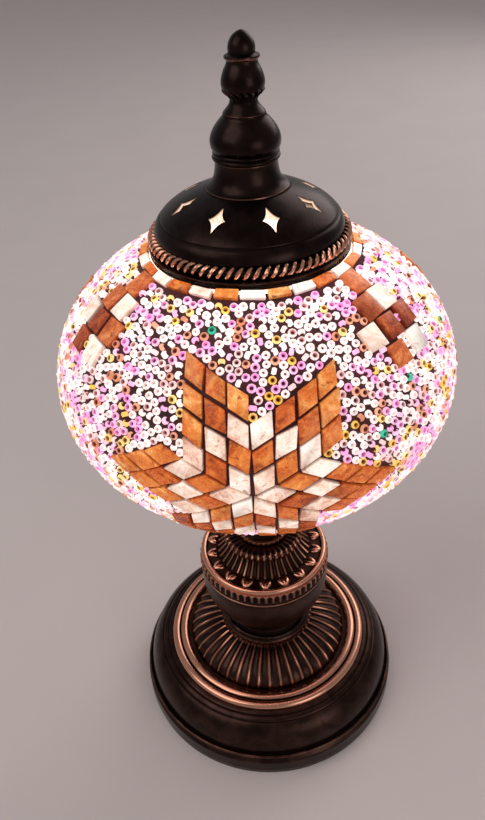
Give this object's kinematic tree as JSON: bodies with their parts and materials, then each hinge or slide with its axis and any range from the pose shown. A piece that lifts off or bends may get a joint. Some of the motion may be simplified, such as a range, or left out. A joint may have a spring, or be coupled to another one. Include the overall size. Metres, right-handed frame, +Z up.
{
  "type": "mosaic glass table lamp",
  "caption": "Table lamp with an oval glass globe covered in star mosaic and seed beads, a pierced metal cap with turned finial, and a stacked stem on a round foot.",
  "frame": {"origin": "centre of the foot on the table", "axes": "+Z up along the stem, -Y towards the front star, +Y towards the cord inlet"},
  "size_m": [0.1799, 0.1784, 0.3663],
  "materials": {
    "antique_copper": "cast and spun metal, antique copper wash with worn bright edges",
    "bright_copper": "polished copper wash, rolled bead",
    "dark_bronze": "dark bronze lacquer on spun sheet",
    "brass": "plain brass",
    "steel": "zinc plated",
    "iron": "as cast",
    "felt": "black felt",
    "rubber": "moulded",
    "cork": "pressed cork",
    "holder_plastic": "moulded thermoset",
    "holder_ceramic": "glazed insulator",
    "black_glass": "fused black glass",
    "bulb_glass": "clear blown glass",
    "filament": "glowing phosphor stick",
    "globe_glass": "clear blown glass",
    "beads_and_grout": "glass seed beads in dark grout",
    "white_tile": "opal glass, mottled, cut by hand",
    "amber_tile": "mottled amber glass, cut by hand"
  },
  "bodies": {
    "base": {"felt_pad": "felt", "base_plate": "steel", "weight_disc": "iron", "foot_band": "antique_copper", "foot_shoulder": "antique_copper", "cord_grommet": "rubber", "lower_washer": "steel", "lower_nut": "steel", "stem_tube": "steel", "trim_ring": "bright_copper", "fluted_dome": "antique_copper", "stem_neck": "antique_copper", "knop_bowl": "antique_copper", "knop_crown": "antique_copper", "spindle": "antique_copper", "gallery_cup": "antique_copper", "gallery_nut": "steel", "gallery_gasket": "cork", "holder_shell": "holder_plastic", "holder_ring": "holder_plastic", "holder_insulator": "holder_ceramic", "holder_sleeve": "brass", "holder_contact": "brass", "holder_terminals": "steel"},
    "bulb": {"bulb_cap": "steel", "bulb_insulator": "black_glass", "bulb_tip": "steel", "bulb_glass": "bulb_glass", "bulb_stem": "bulb_glass", "bulb_filaments": "filament"},
    "globe": {"globe_neck": "globe_glass", "globe_bowl": "globe_glass", "globe_belly": "globe_glass", "globe_shoulder": "globe_glass", "globe_lip": "globe_glass", "bead_layer": "beads_and_grout", "star_tiles_white": "white_tile", "star_tiles_amber": "amber_tile", "cluster_tiles_white": "white_tile", "cluster_tiles_amber": "amber_tile", "collar_tiles_white": "white_tile", "collar_tiles_amber": "amber_tile", "lower_tiles_white": "white_tile", "lower_tiles_amber": "amber_tile"},
    "cap": {"cap_gasket": "cork", "cap_seat_ring": "steel", "cap_dome": "dark_bronze", "cap_rope_ring": "bright_copper", "finial_washer": "steel", "finial_nut": "steel", "finial_rod": "steel", "finial_foot": "dark_bronze", "finial_bell": "dark_bronze", "finial_bead": "dark_bronze", "finial_tip": "dark_bronze"},
    "screw_right": {"gallery_screw_right": "brass"},
    "screw_rear": {"gallery_screw_rear": "brass"},
    "screw_left": {"gallery_screw_left": "brass"}
  },
  "joints": [
    {"name": "globe_lift", "type": "slide", "parent": "base", "child": "globe", "axis": [0, 0, 1], "range_m": [0, 0.11]},
    {"name": "cap_lift", "type": "slide", "parent": "globe", "child": "cap", "axis": [0, 0, 1], "range_m": [0, 0.07]},
    {"name": "bulb_turn", "type": "hinge", "parent": "base", "child": "bulb", "pos_m": [0, 0, 0.19], "axis": [0, 0, 1], "range_deg": [0, 1080]},
    {"name": "screw_right_turn_out", "type": "slide", "parent": "base", "child": "screw_right", "axis": [0.866, -0.5, 0], "range_m": [0, 0.004]},
    {"name": "screw_rear_turn_out", "type": "slide", "parent": "base", "child": "screw_rear", "axis": [0, 1, 0], "range_m": [0, 0.004]},
    {"name": "screw_left_turn_out", "type": "slide", "parent": "base", "child": "screw_left", "axis": [-0.866, -0.5, 0], "range_m": [0, 0.004]}
  ]
}
